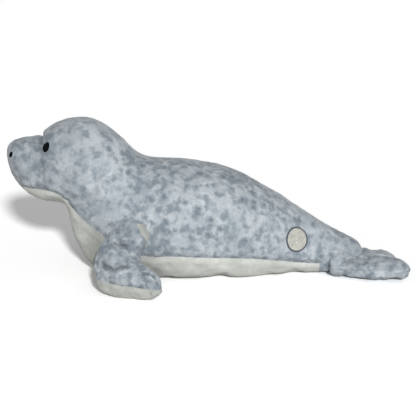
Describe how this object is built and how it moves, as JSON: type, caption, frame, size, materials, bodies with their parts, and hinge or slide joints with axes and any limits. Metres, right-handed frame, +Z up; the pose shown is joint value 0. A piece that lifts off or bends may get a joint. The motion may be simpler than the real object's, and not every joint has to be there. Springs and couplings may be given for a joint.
{
  "type": "plush seal",
  "caption": "Stuffed plush seal lying on its belly with its head raised, with front and rear flippers, a cream underside, embroidered eyes and a round cloth patch.",
  "frame": {"origin": "on the floor under the centre of the seal's bounding box", "axes": "+X from the nose to the tail, -Y to the seal's left side, +Z up"},
  "size_m": [0.4562, 0.2434, 0.1778],
  "materials": {
    "mottled_plush": "short pile plush, blue-grey with darker soft spots",
    "cream_plush": "short pile plush, plain cream",
    "black_thread": "satin-stitch embroidery, black",
    "patch_cloth": "woven cotton",
    "border_thread": "overlock stitched edge"
  },
  "bodies": {
    "root": {"body": "mottled_plush", "belly_panel": "cream_plush", "front_flipper_left": "mottled_plush", "front_flipper_right": "mottled_plush", "front_flipper_sole_left": "cream_plush", "front_flipper_sole_right": "cream_plush", "rear_flipper_left": "mottled_plush", "rear_flipper_right": "mottled_plush", "eye_left": "black_thread", "eye_right": "black_thread", "nostril_left": "black_thread", "nostril_right": "black_thread", "patch": "patch_cloth", "patch_border": "border_thread"}
  },
  "joints": []
}
